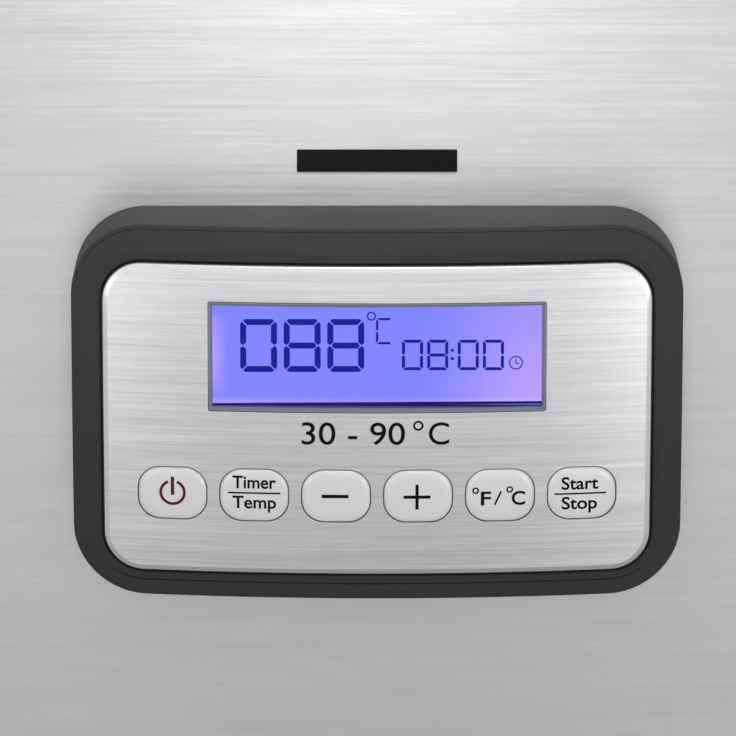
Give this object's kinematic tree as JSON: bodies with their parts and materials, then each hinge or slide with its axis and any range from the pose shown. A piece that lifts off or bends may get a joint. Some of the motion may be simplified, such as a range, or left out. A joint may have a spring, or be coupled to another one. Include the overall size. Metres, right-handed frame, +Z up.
{
  "type": "sous vide circulator",
  "caption": "Stainless water bath with a lift-off lid, a stirred and heated tank, and a bowed control panel with a lit display and push keys.",
  "frame": {"origin": "on the worktop, under the middle of the bounding box", "axes": "+X to the right seen from the front, -Y out of the front with the control panel, +Z up"},
  "size_m": [0.3966, 0.2918, 0.275],
  "materials": {
    "brushed_steel": "brushed stainless sheet, long horizontal grain",
    "drawn_steel": "deep-drawn stainless, satin",
    "brushed_plate": "brushed and anodised, horizontal grain, polished chamfer round the edge",
    "screw_steel": "zinc plated",
    "motor_steel": "plain metal",
    "black_moulding": "heat-resistant plastic, fine moulded texture",
    "panel_black": "satin black plastic, very fine moulded texture",
    "dark_moulding": "plain black plastic",
    "key_silver": "silver lacquered plastic under a thin clear coat",
    "display_trim": "grey lacquered plastic",
    "clear_glass": "clear",
    "lit_display": "back-lit liquid crystal, blue-violet, with plain numbers",
    "diffuser": "milky light guide",
    "circuit_board": "green solder mask",
    "rubber": "black rubber",
    "silicone": "translucent silicone",
    "brass": "plain"
  },
  "bodies": {
    "base": {"base_tray": "black_moulding", "casing_wrap": "brushed_steel", "top_rim": "black_moulding", "tank": "drawn_steel", "foot_front_left": "rubber", "foot_front_right": "rubber", "foot_rear_left": "rubber", "foot_rear_right": "rubber", "base_screw_front_left": "screw_steel", "base_screw_front_right": "screw_steel", "base_screw_rear_left": "screw_steel", "base_screw_rear_right": "screw_steel", "false_floor": "drawn_steel", "shaft_seal": "rubber", "motor_mount": "screw_steel", "pump_motor": "motor_steel", "heating_element": "motor_steel", "temperature_probe": "screw_steel", "thermal_cutout": "dark_moulding", "power_board": "circuit_board", "inlet_socket": "dark_moulding", "inlet_pin_live": "brass", "inlet_pin_earth": "brass", "inlet_pin_neutral": "brass", "carry_handle_left": "black_moulding", "carry_handle_right": "black_moulding", "panel_housing": "panel_black", "face_plate": "brushed_plate", "display_frame": "display_trim", "display_lens": "clear_glass", "display_glass": "lit_display", "backlight": "diffuser", "control_board": "circuit_board", "tact_switch_power": "dark_moulding", "tact_switch_timer_temperature": "dark_moulding", "tact_switch_minus": "dark_moulding", "tact_switch_plus": "dark_moulding", "tact_switch_unit": "dark_moulding", "tact_switch_start_stop": "dark_moulding", "panel_screw_lower_left": "screw_steel", "panel_screw_lower_right": "screw_steel", "panel_screw_upper_left": "screw_steel", "panel_screw_upper_right": "screw_steel", "cable_grommet": "rubber", "panel_harness": "rubber"},
    "lid": {"lid_frame": "brushed_steel", "lid_window": "clear_glass", "lid_gasket": "silicone", "lid_handle": "black_moulding", "lid_screw_left": "screw_steel", "lid_screw_right": "screw_steel"},
    "impeller": {"impeller": "dark_moulding"},
    "power_key": {"key_power": "key_silver"},
    "timer_temperature_key": {"key_timer_temperature": "key_silver"},
    "minus_key": {"key_minus": "key_silver"},
    "plus_key": {"key_plus": "key_silver"},
    "unit_key": {"key_unit": "key_silver"},
    "start_stop_key": {"key_start_stop": "key_silver"}
  },
  "joints": [
    {"name": "lid_lift", "type": "slide", "parent": "base", "child": "lid", "axis": [0, 0, 1], "range_m": [0, 0.12]},
    {"name": "impeller_spin", "type": "hinge", "parent": "base", "child": "impeller", "pos_m": [0, 0.0119, 0.07], "axis": [0, 0, 1], "continuous": true},
    {"name": "power_key", "type": "slide", "parent": "base", "child": "power_key", "axis": [0, 1, 0], "range_m": [0, 0.0008], "stiffness_N_per_m": 600},
    {"name": "timer_temperature_key", "type": "slide", "parent": "base", "child": "timer_temperature_key", "axis": [0, 1, 0], "range_m": [0, 0.0008], "stiffness_N_per_m": 600},
    {"name": "minus_key", "type": "slide", "parent": "base", "child": "minus_key", "axis": [0, 1, 0], "range_m": [0, 0.0008], "stiffness_N_per_m": 600},
    {"name": "plus_key", "type": "slide", "parent": "base", "child": "plus_key", "axis": [0, 1, 0], "range_m": [0, 0.0008], "stiffness_N_per_m": 600},
    {"name": "unit_key", "type": "slide", "parent": "base", "child": "unit_key", "axis": [0, 1, 0], "range_m": [0, 0.0008], "stiffness_N_per_m": 600},
    {"name": "start_stop_key", "type": "slide", "parent": "base", "child": "start_stop_key", "axis": [0, 1, 0], "range_m": [0, 0.0008], "stiffness_N_per_m": 600}
  ]
}
